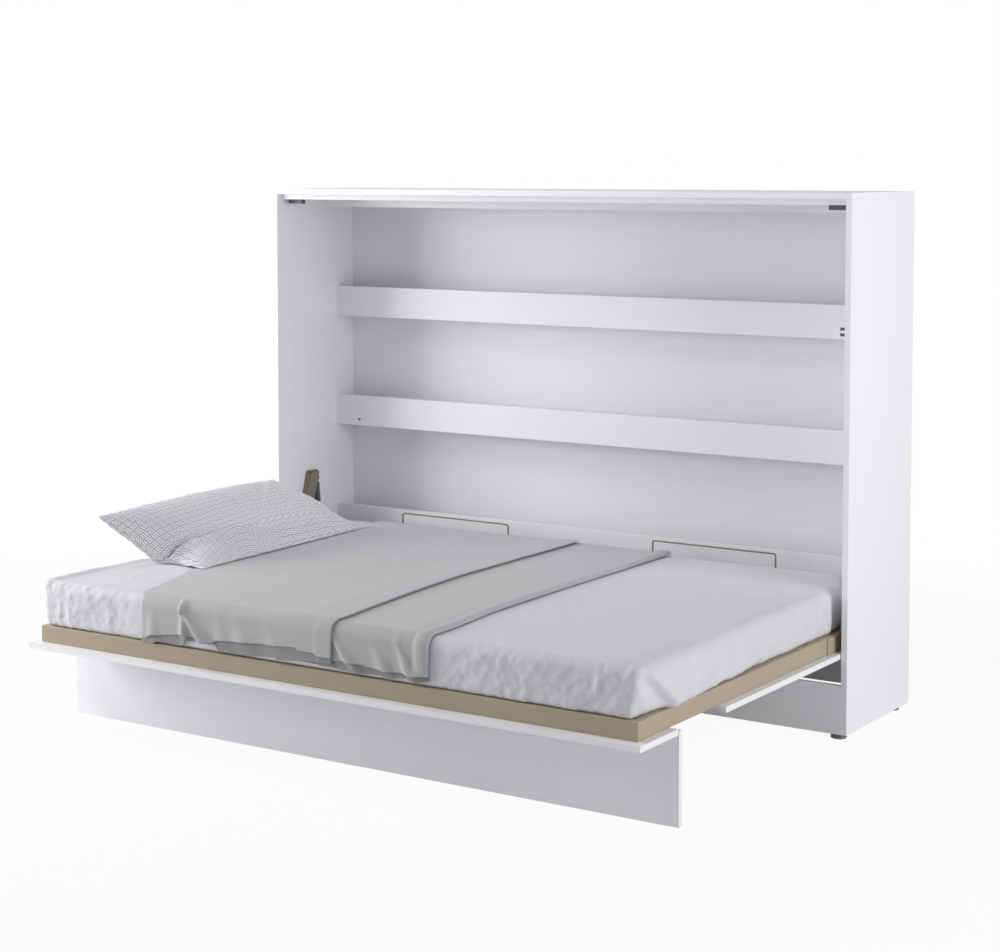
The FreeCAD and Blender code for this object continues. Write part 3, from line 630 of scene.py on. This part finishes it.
narrowThrowLook = {
    "left": [(-1.172, -0.040), (0.223, -0.040)],
    "right": [(-1.172, 0.393), (-1.006, 0.385), (-0.81, 0.362), (-0.418, 0.353), (0.223, 0.353)],
    "hem": [(-0.040, 0.340), (0.086, 0.338), (0.12, 0.342), (0.159, 0.339), (0.215, 0.3335),
            (0.27, 0.331), (0.316, 0.3345), (0.352, 0.332), (0.393, 0.335)],
    "innerHem": [(-0.040, 0.322), (0.16, 0.3135), (0.235, 0.318), (0.24, 0.312), (0.316, 0.320),
                 (0.34, 0.311), (0.393, 0.322)],
    "folds": [(0.158, 0.020, 0.016, 0.95, 0.12), (0.345, 0.019, 0.016, 0.60, 0.15),
              (0.262, 0.009, 0.020, 0.6, 0.1)],
    "overFrom": 9.0, "overLift": 0.0,
}


def throwSheet(name, node, own, rolled):
    look = throwLook
    bendY = throwFront + look["bend"]
    bendZ = throwTop - look["bend"]
    length = throwRear - bendY
    arc = (look["bend"] + look["lift"]) * math.pi / 2
    columns = round((own["right"][0][1] - own["left"][0][1]) / look["step"])
    shares = [column / columns for column in range(columns + 1)]
    vertices, places, faces = [], [], []

    def edges(down):
        y = max(throwFront, throwRear - down) - cabinetFront
        return between(own["left"], y), between(own["right"], y)

    def swelling(x, drop):
        # how far the folds stand out, at a depth under the bend
        reach = softStep(0.0, look["openDepth"], drop)
        swell = 0.0
        for centre, height, width, lean, start in own["folds"]:
            middle = centre - lean * (look["leanDepth"] - drop)
            spread = width * (0.7 + 0.5 * reach)
            size = height * (start + (1 - start) * reach)
            swell += size * bell(x - middle, spread)
            swell -= look["dip"] * size * bell(x - middle + look["dipAt"] * spread, spread)
        return max(-0.0006, swell) + 0.0016 * reach

    def placed(share, down, inner):
        # a point of the cloth, at a distance down it from its rear edge
        left, right = edges(down)
        x = left + share * (right - left)
        fromRight = right - x
        lift = look["lift"] + look["unevenness"] * noise.noise(Vector((x * 6, down * 4, 2.0)))
        lift += own["overLift"] * softStep(own["overFrom"] - look["overRamp"], own["overFrom"], x)
        if inner:
            lift -= look["innerGap"]
        elif rolled:
            across = fromRight / look["rollWidth"]
            if across < 1.0:
                lift += look["rollHeight"] * math.sqrt(max(0.0, 1 - (across * 2 - 1) ** 2))
        else:
            lift += look["bandLift"] * (1 - softStep(0.0, 0.004, fromRight - look["bandWidth"]))
        swellShare = look["innerSwell"] if inner else 1.0
        if down <= length:
            return Vector((x, throwRear - down, throwTop + lift))
        if down <= length + arc:
            angle = (down - length) / arc * math.pi / 2
            radius = look["bend"] + lift + swellShare * swelling(x, 0.0) * math.sin(angle) ** 2
            return Vector((x, bendY - radius * math.sin(angle), bendZ + radius * math.cos(angle)))
        drop = down - length - arc
        return Vector((x, bendY - look["bend"] - lift - swellShare * swelling(x, drop), bendZ - drop))

    def hanging(share, part, inner):
        # distance along the cloth, at a part of the way from the bend to the hem
        left, right = edges(length + arc)
        x = left + share * (right - left)
        hem = between(own["innerHem"] if inner else own["hem"], x)
        hem += look["hemWave"] * noise.noise(Vector((x * 38, 4.0 if inner else 1.0, 0.0)))
        drop = bendZ - hem
        start = look["innerStart"] * drop if inner else 0.0
        return length + arc + 1e-6 + start + (drop - start) * part

    def layer(inner):
        first, width = len(vertices), len(shares)
        downs = [length * step / look["flatSteps"] for step in range(look["flatSteps"])]
        downs += [length + arc * step / look["bendSteps"] for step in range(look["bendSteps"])]
        rows = [] if inner else [[down] * width for down in downs]
        for row in range(look["hangRows"] + 1):
            rows.append([hanging(share, row / look["hangRows"], inner) for share in shares])
        for row in rows:
            for share, down in zip(shares, row):
                left, right = edges(down)
                vertices.append(placed(share, down, inner))
                # the third part marks the inner layer, which the throw finish darkens as painted shade
                places.append(((1 - share) * (right - left), down, look["innerShade"] * inner))
        for row in range(len(rows) - 1):
            for column in range(columns):
                corner = first + row * width + column
                faces.append((corner, corner + width, corner + width + 1, corner + 1))

    layer(False)
    layer(True)
    piece = newPiece(name, vertices, faces, "bed", "throw_fabric")
    keepPlaces(piece, places)
    body = piece.modifiers.new("clothThickness", "SOLIDIFY")
    body.thickness = look["thickness"]
    body.offset = 0.0
    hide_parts(node)
    return piece


mattressLow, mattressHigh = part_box("mattress")
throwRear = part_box("throw_wide")[1].y
throwFront = mattressLow.y - mattressLook["frontReach"]
throwTop = mattressHigh.z
throwWide = throwSheet("throwWide", "throw_wide", wideThrowLook, False)
throwNarrow = throwSheet("throwNarrow", "throw_narrow", narrowThrowLook, True)
print("throws laid")


# Pillow with one long edge raised and its front end tucked in

pillowLook = {
    "acrossCells": 60, "alongCells": 110,
    "outer": ((-1.006, -0.918), (-0.998, -0.085)), "inner": ((-0.706, -0.776), (-0.742, 0.136)),
    "shares": (0.0, 0.12, 0.25, 0.38, 0.5, 0.62, 0.75, 0.88, 1.0),
    # height of the upper side over the bed: one row for each place along the pillow
    "heights": [
        (0.00, (0.161, 0.134, 0.100, 0.056, 0.010, 0.014, 0.009, 0.006, 0.004)),
        (0.06, (0.162, 0.150, 0.130, 0.102, 0.068, 0.038, 0.038, 0.040, 0.006)),
        (0.15, (0.164, 0.158, 0.146, 0.125, 0.098, 0.070, 0.056, 0.062, 0.008)),
        (0.25, (0.167, 0.163, 0.152, 0.134, 0.110, 0.086, 0.071, 0.070, 0.009)),
        (0.37, (0.170, 0.167, 0.158, 0.142, 0.121, 0.099, 0.083, 0.070, 0.009)),
        (0.50, (0.173, 0.172, 0.164, 0.147, 0.127, 0.108, 0.094, 0.068, 0.009)),
        (0.75, (0.174, 0.172, 0.162, 0.146, 0.126, 0.106, 0.084, 0.054, 0.008)),
        (0.92, (0.173, 0.166, 0.152, 0.134, 0.112, 0.088, 0.060, 0.030, 0.006)),
        (1.00, (0.171, 0.150, 0.131, 0.111, 0.090, 0.062, 0.030, 0.011, 0.004)),
    ],
    "creaseAt": [(0.0, 0.52), (0.05, 0.64), (0.14, 0.74), (0.25, 0.765), (0.45, 0.77)],
    "creaseDepth": 0.042, "creaseWidth": 0.034, "lobe": 0.026, "lobeAt": 0.080, "lobeWidth": 0.045,
    "biteDepth": 0.050, "biteWidth": 0.030, "biteLean": 0.007, "foldDepth": 0.0028, "foldWidth": 0.030,
    "frontTuck": [(0.0, 0.0, 0.0), (0.25, -0.024, 0.039), (0.5, -0.050, 0.082), (0.62, -0.049, 0.085),
                  (0.75, -0.052, 0.068), (0.88, -0.030, 0.030), (1.0, 0.0, 0.0)],
    "rearTuck": [(0.0, 0.0, 0.0), (0.3, 0.012, -0.020), (0.5, 0.020, -0.030), (0.7, 0.027, -0.054),
                 (0.85, 0.012, -0.024), (1.0, 0.0, 0.0)],
    "tuckReach": 0.34, "rearReach": 0.24, "fullness": 0.088, "smoothing": 4,
    "throwUnder": 0.0062, "throwFrom": -0.80, "throwTo": -0.765, "rise": 0.010,
    "growth": 0.075, "hold": 0.62, "pressure": 0.6, "frames": 16,
}


def pillowGrid(look):
    # two panels of the same grid, joined along their seam
    nx, ny = look["acrossCells"], look["alongCells"]
    index, keys, faces = {}, [], []

    def vertex(i, j, side):
        key = (i, j, 0 if i in (0, nx) or j in (0, ny) else side)
        if key not in index:
            index[key] = len(keys)
            keys.append(key)
        return index[key]

    for side in (1, -1):
        for i in range(nx):
            for j in range(ny):
                corners = ((i, j), (i + 1, j), (i + 1, j + 1), (i, j + 1))
                quad = [vertex(*corner, side) for corner in corners]
                faces.append(quad if side > 0 else quad[::-1])
    return keys, faces


def pillowHeight(look, across, along):
    # height of the upper side, read from the rows of the table
    rows = look["heights"]
    last = max(0, min(len(rows) - 2, sum(1 for row in rows if row[0] <= along) - 1))
    (nearAt, near), (farAt, far) = rows[last], rows[last + 1]
    share = (along - nearAt) / (farAt - nearAt)
    low = between(list(zip(look["shares"], near)), across)
    high = between(list(zip(look["shares"], far)), across)
    return low + (high - low) * share


def pillowCreases(look, across, along):
    # the deep crease from the tucked front end, and a soft fold that runs over the whole pillow
    fade = softStep(0.0, 0.03, along) * (1 - softStep(0.26, 0.44, along))
    middle = between(look["creaseAt"], along)
    valley = bell(across - middle, look["creaseWidth"])
    lobe = bell(across - middle - look["lobeAt"], look["lobeWidth"])
    fold = along - (0.935 - 0.62 * across - 0.16 * across ** 4)
    dent = bell(fold, look["foldWidth"]) - 0.7 * bell(fold - 0.035, 0.025)
    return fade * (look["lobe"] * lobe - look["creaseDepth"] * valley) - look["foldDepth"] * dent


def creaseBite(look, across, along):
    # the bottom of the deep crease, which the simulated cover would otherwise bridge,
    # and the soft lobe beside it that leans over the crease
    fade = softStep(0.0, 0.05, along) * (1 - softStep(0.32, 0.46, along))
    offset = (across - between(look["creaseAt"], along)) / look["biteWidth"]
    lean = look["biteLean"] * fade * bell(offset - 1.1, 0.8)
    return Vector((-lean, -0.35 * lean, -look["biteDepth"] * fade * bell(offset, 1.0)))


def pillowPlace(look, across, along):
    # where a point of the pillow lies on the bed
    (outX, outY), (outEndX, outEndY) = look["outer"]
    (inX, inY), (inEndX, inEndY) = look["inner"]
    outer = Vector((outX + (outEndX - outX) * along, outY + (outEndY - outY) * along))
    inner = Vector((inX + (inEndX - inX) * along, inY + (inEndY - inY) * along))
    point = outer.lerp(inner, across)
    for table, fade in ((look["frontTuck"], 1 - along / look["tuckReach"]),
                        (look["rearTuck"], 1 - (1 - along) / look["rearReach"])):
        if fade > 0:
            shiftX = between([(at, x) for at, x, y in table], across)
            shiftY = between([(at, y) for at, x, y in table], across)
            point += Vector((shiftX, shiftY)) * fade ** 1.4
    return point


def pillowFloor(x):
    # the pillow's inner edge lies on the wide throw
    return pillowLook["throwUnder"] * softStep(pillowLook["throwFrom"], pillowLook["throwTo"], x)


def pillowShape(look, keys, seat):
    # the pillow before its cover is wrinkled
    nx, ny = look["acrossCells"], look["alongCells"]
    tops = {(i, j): pillowHeight(look, i / nx, j / ny) for i in range(nx + 1) for j in range(ny + 1)}
    for turn in range(look["smoothing"]):
        before = dict(tops)
        for i in range(1, nx):
            for j in range(1, ny):
                around = before[i - 1, j] + before[i + 1, j] + before[i, j - 1] + before[i, j + 1]
                tops[i, j] = 0.5 * before[i, j] + 0.125 * around
    points = []
    for i, j, side in keys:
        across, along = i / nx, j / ny
        place = pillowPlace(look, across, along)
        height = tops[i, j]
        if side:
            fullness = (1 - abs(2 * across - 1) ** 2.6) * (1 - abs(2 * along - 1) ** 5)
            depth = look["fullness"] * math.sqrt(max(0.0, fullness))
            if side > 0:
                edge = math.sqrt(max(0.0, fullness))
                height += look["rise"] * edge + pillowCreases(look, across, along) * min(1.0, 2 * edge)
            else:
                height = height - depth
        height = max(height, pillowFloor(place.x))
        points.append(Vector((place.x, place.y + cabinetFront, seat + height)))
    return points


def wrinkled(look, piece, keys):
    # the cover is a little too large for its filling, so that it creases and puckers at the seam
    hold = piece.vertex_groups.new(name="filling")
    for number, key in enumerate(keys):
        hold.add([number], look["hold"] if key[2] else 1.0, "REPLACE")
    cloth = piece.modifiers.new("cover", "CLOTH")
    values = {"quality": 6, "mass": 0.2, "vertex_group_mass": "filling", "pin_stiffness": 1.0,
              "shrink_min": -look["growth"], "use_pressure": True,
              "uniform_pressure_force": look["pressure"], "tension_stiffness": 20,
              "compression_stiffness": 20, "shear_stiffness": 8, "bending_stiffness": 0.08}
    for key, value in values.items():
        setattr(cloth.settings, key, value)
    cloth.settings.effector_weights.gravity = 0.0
    scene = bpy.context.scene
    for step in range(1, look["frames"] + 1):
        scene.frame_set(step)
    solved = piece.evaluated_get(bpy.context.evaluated_depsgraph_get()).to_mesh()
    points = [vertex.co.copy() for vertex in solved.vertices]
    piece.modifiers.remove(cloth)
    piece.vertex_groups.clear()
    scene.frame_set(1)
    return points


def clothDistances(look, keys, vertices):
    # distances along the cover, so that the print keeps its size on the steep sides
    nx, ny = look["acrossCells"], look["alongCells"]
    spots = {key: vertex.co for key, vertex in zip(keys, vertices)}

    def spot(i, j, side):
        return spots[i, j, 0 if i in (0, nx) or j in (0, ny) else side]

    across, along = {}, {}
    for side in (-1, 1):
        for i in range(nx + 1):
            for j in range(ny + 1):
                here, key = spot(i, j, side), (i, j, side)
                across[key] = across[i - 1, j, side] + (here - spot(i - 1, j, side)).length if i else 0.0
                along[key] = along[i, j - 1, side] + (here - spot(i, j - 1, side)).length if j else 0.0
    return [(across[i, j, side or 1], along[i, j, side or 1], 0.0) for i, j, side in keys]


def madePillow(look, seat):
    keys, faces = pillowGrid(look)
    nx, ny = look["acrossCells"], look["alongCells"]
    piece = newPiece("pillow_cover", pillowShape(look, keys, seat), faces, "bed", "pillow_fabric")
    for (i, j, side), vertex, point in zip(keys, piece.data.vertices, wrinkled(look, piece, keys)):
        if side > 0:
            point += creaseBite(look, i / nx, j / ny)
        vertex.co = Vector((point.x, point.y, max(seat + pillowFloor(point.x), point.z)))
    keepPlaces(piece, clothDistances(look, keys, piece.data.vertices))
    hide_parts("pillow")
    smoother = piece.modifiers.new("finerCloth", "SUBSURF")
    smoother.levels = 1
    smoother.render_levels = 1
    return piece


pillowSeat = mattressHigh.z + 0.0012
pillowPiece = madePillow(pillowLook, pillowSeat)
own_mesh(pillowPiece)
print("pillow made")


# Wires behind the mattress

wireLook = {"radius": 0.0026, "bend": 0.007, "arcSteps": 6, "rise": 0.006}


def roundedPath(corners, radius, steps):
    path = [corners[0]]
    for before, corner, after in zip(corners, corners[1:], corners[2:]):
        toBefore = (before - corner).normalized()
        toAfter = (after - corner).normalized()
        centre = corner + (toBefore + toAfter) * radius
        for step in range(steps + 1):
            angle = math.pi / 2 * step / steps
            path.append(centre - toAfter * radius * math.cos(angle) - toBefore * radius * math.sin(angle))
    path.append(corners[-1])
    return path


def bentTube(name, path, radius):
    curve = bpy.data.curves.new(name + "Line", "CURVE")
    curve.dimensions = "3D"
    curve.bevel_depth = radius
    curve.bevel_resolution = 4
    curve.use_fill_caps = True
    spline = curve.splines.new("POLY")
    spline.points.add(len(path) - 1)
    for point, place in zip(spline.points, path):
        point.co = (*place, 1.0)
    holder = linked(name + "Holder", curve)
    mesh = bpy.data.meshes.new_from_object(holder.evaluated_get(bpy.context.evaluated_depsgraph_get()))
    bpy.data.objects.remove(holder)
    return addedPiece(name, mesh, "bed", darkWire)


def mattressWire(side):
    node = "mattress_wire_" + side
    low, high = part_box(node)
    radius = wireLook["radius"]
    y = (low.y + high.y) / 2
    left, right = low.x + radius, high.x - radius
    top = high.z - radius + wireLook["rise"]
    corners = [Vector((x, y, z)) for x, z in ((left, low.z), (left, top), (right, top), (right, low.z))]
    path = roundedPath(corners, wireLook["bend"], wireLook["arcSteps"])
    piece = bentTube("wire_" + side, path, radius)
    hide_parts(node)


darkWire = paintFinish("wirePaint", 0.3, 0.45)
for side in ("left", "right"):
    mattressWire(side)


# Levelling glides

glideLook = {"sides": 40, "cup": 0.0157, "stem": 0.005, "thread": 0.0012, "threadDepth": 0.0004}


def levellingGlide(place):
    node = "glide_" + place
    low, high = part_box(node)
    centre = Vector(((low.x + high.x) / 2, (low.y + high.y) / 2, low.z))
    radius, tall = (high.x - low.x) / 2, high.z - low.z
    cup, stem, thread = glideLook["cup"], glideLook["stem"], glideLook["thread"]
    # how far the cup's side stands back from its widest ring, and at which height
    side = [(0.005, 0.0), (0.002, 0.0008), (0.0, 0.003), (0.0, 0.006), (0.001, 0.0072), (0.001, 0.0084),
            (0.0, 0.0096), (0.0012, 0.0128), (0.004, 0.0148), (0.007, cup)]
    profile = [(radius - inset, height) for inset, height in side]
    profile += [(stem + 0.001, cup), (stem, cup + 0.001)]
    height = cup + 0.002
    while height < tall - 0.002:
        profile += [(stem, height), (stem - glideLook["threadDepth"], height + thread / 2)]
        height += thread
    profile += [(stem, tall - 0.001), (stem - 0.001, tall)]
    vertices, faces = lathed(profile, glideLook["sides"], centre)
    piece = newPiece("cup_" + place, vertices, faces, node, "glide_plastic")
    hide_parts(node)


for place in ("front_left", "front_right", "rear_left", "rear_right"):
    levellingGlide(place)
print("wires and glides made")


# Strike and screws

strikeLook = {"radius": 0.0045, "plate": 0.002, "inset": 0.0075, "sides": 28}
screwLook = {
    "sides": 32, "dome": 0.0016, "armHalfAngle": 0.28, "recessCorner": 0.42, "radius": 0.0045,
    "edgeInset": 0.014, "plateFace": 0.003,
    # share of the radius, share of the dome, and whether the ring follows the cross recess
    "rings": [(1.0, 0.0, False), (1.0, 0.25, False), (0.86, 0.72, False), (0.6, 1.0, False),
              (0.56, 1.0, True), (0.5, 0.3, True)],
}


def screwHeads(name, spots, facing):
    # pan heads with a cross recess
    sides, rings = screwLook["sides"], screwLook["rings"]
    turn = facing.to_track_quat("Z", "Y")
    vertices, faces = [], []
    for place in spots:
        first = len(vertices)
        for share, rise, cross in rings:
            for step in range(sides):
                angle = 2 * math.pi * step / sides
                reach = share * screwLook["radius"]
                if cross:
                    fromArm = abs(((angle + math.pi / 4) % (math.pi / 2)) - math.pi / 4)
                    reach *= 1.0 if fromArm < screwLook["armHalfAngle"] else screwLook["recessCorner"]
                flat = Vector((reach * math.cos(angle), reach * math.sin(angle), rise * screwLook["dome"]))
                vertices.append(place + turn @ flat)
        faces += ringFaces(len(rings), sides, first)
    newPiece(name, vertices, faces, "cabinet", "zinc_steel", smooth=False)


def strikeKnobs(look):
    # two rubber knobs on a thin plate
    low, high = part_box("catch_strike")
    middle, half = (low + high) / 2, (high - low) / 2
    plateX = high.x - look["plate"]
    reach = plateX - low.x
    radius = look["radius"]
    vertices, faces = [], []
    profile = [(radius + 0.001, 0.0), (radius, 0.001), (radius, reach - 0.0016),
               (radius - 0.0006, reach - 0.0004), (radius - 0.0016, reach)]
    for z in (low.z + look["inset"], high.z - look["inset"]):
        first = len(vertices)
        turned, rings = lathed(profile, look["sides"], Vector((0, 0, 0)))
        vertices += [Vector((plateX - v.z, middle.y + v.y, z + v.x)) for v in turned]
        faces += [tuple(first + index for index in ring) for ring in rings]
    first = len(vertices)
    for x, shrink in ((high.x, 0.0), (plateX, 0.0008)):
        for y, z in ((-1, -1), (1, -1), (1, 1), (-1, 1)):
            corner = Vector((x, middle.y + y * (half.y - shrink), middle.z + z * (half.z - shrink)))
            vertices.append(corner)
    faces += ringFaces(2, 4, first)
    piece = newPiece("strikeKnobs", vertices, faces, "cabinet", "grey_fitting", smooth=False)
    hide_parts("catch_strike")


def plateScrews(side):
    low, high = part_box("pivot_plate_" + side)
    way = -1 if side == "right" else 1
    thick, inset = screwLook["plateFace"], screwLook["edgeInset"]
    face = high.x - thick if side == "right" else low.x + thick
    spots = [Vector((face, y, z)) for y in (low.y + inset, high.y - inset)
             for z in (low.z + inset, high.z - inset)]
    screwHeads("plateScrews_" + side, spots, Vector((way, 0, 0)))


strikeKnobs(strikeLook)
for side in ("left", "right"):
    plateScrews(side)
print("screws made")


# Floor, light and camera

studioLook = {
    "ambient": 0.275, "floorGlow": 0.94, "clearFrom": 2.0, "clearTo": 3.4,
    "cameraPlace": (3.5316, -5.2576, 1.6616), "cameraAngles": (86.248, 0.0, 33.177),
    "lens": 76.355, "shift": -0.17, "floorHalf": 30.0,
}


def rayShare(tree):
    # 1 for what the camera sees, directly, in gloss or through glass
    path = tree.nodes.new("ShaderNodeLightPath")
    first = tree.nodes.new("ShaderNodeMath")
    second = tree.nodes.new("ShaderNodeMath")
    for made, sockets in ((first, (path.outputs["Is Camera Ray"], path.outputs["Is Glossy Ray"])),
                          (second, (first.outputs[0], path.outputs["Is Transmission Ray"]))):
        made.operation = "MAXIMUM"
        for index, socket in enumerate(sockets):
            tree.links.new(socket, made.inputs[index])
    return second.outputs[0]


def chosen(tree, output, *sockets):
    # a factor and the two shaders that it chooses between
    chooser = tree.nodes.new("ShaderNodeMixShader")
    for index, socket in enumerate(sockets):
        tree.links.new(socket, chooser.inputs[index])
    tree.links.new(chooser.outputs[0], tree.nodes[output].inputs["Surface"])


def whiteWorld():
    world = bpy.data.worlds.new("studioWorld")
    bpy.context.scene.world = world
    world.use_nodes = True
    tree = world.node_tree
    ambient = tree.nodes["Background"]
    ambient.inputs["Color"].default_value = (0.97, 0.98, 1.0, 1.0)
    ambient.inputs["Strength"].default_value = studioLook["ambient"]
    white = tree.nodes.new("ShaderNodeBackground")
    white.inputs["Color"].default_value = (1.0, 1.0, 1.0, 1.0)
    chosen(tree, "World Output", rayShare(tree), ambient.outputs[0], white.outputs[0])


def paleFloor():
    half = studioLook["floorHalf"]
    mesh = bpy.data.meshes.new("studioFloor")
    corners = [(x * half, y * half, 0) for x, y in ((-1, -1), (1, -1), (1, 1), (-1, 1))]
    mesh.from_pydata(corners, [], [(0, 1, 2, 3)])
    floor = linked("studioFloor", mesh)
    made = Finish("floorWhite", 0.9, Specular_IOR_Level=0.0)
    tree = made.tree
    glow = tree.nodes.new("ShaderNodeEmission")
    # the floor keeps the shadow near the bed and clears to white further out
    where = made.node("ShaderNodeTexCoord", output="Object")
    distance = made.node("ShaderNodeVectorMath", {"operation": "LENGTH"}, {0: where}, output="Value")
    limits = {"Value": distance, "From Min": studioLook["clearFrom"], "From Max": studioLook["clearTo"],
              "To Min": studioLook["floorGlow"], "To Max": 1.0}
    clear = made.node("ShaderNodeMapRange", {"interpolation_type": "SMOOTHSTEP"}, limits)
    share = Sock(made, rayShare(tree)) * clear
    chosen(tree, "Material Output", share.socket, made.shader.outputs[0], glow.outputs[0])
    mesh.materials.append(made.material)


def softLight(name, place, target, size, watts):
    light = bpy.data.lights.new(name, "AREA")
    light.shape = "RECTANGLE"
    light.size, light.size_y = size
    light.energy = watts
    lamp = linked(name, light)
    lamp.location = place
    lamp.rotation_euler = (Vector(target) - Vector(place)).to_track_quat("-Z", "Y").to_euler()
    lamp.visible_camera = False


def photoCamera():
    data = bpy.data.cameras.new("photoCamera")
    data.lens = studioLook["lens"]
    data.shift_y = studioLook["shift"]
    camera = linked("photoCamera", data)
    camera.location = studioLook["cameraPlace"]
    camera.rotation_euler = [math.radians(angle) for angle in studioLook["cameraAngles"]]
    bpy.context.scene.camera = camera


whiteWorld()
paleFloor()
softLight("rightWall", (5.0, -0.5, 1.6), (0.6, 0.2, 0.7), (2.5, 2.5), 112)
softLight("leftFront", (-4.1, -2.5, 1.6), (-0.3, -0.2, 0.5), (2.4, 1.8), 126)
softLight("topLeft", (-2.2, -1.2, 3.4), (-0.2, 0.0, 0.5), (2.0, 2.0), 49)
photoCamera()
bpy.context.scene.view_settings.view_transform = "Standard"
print("studio set")
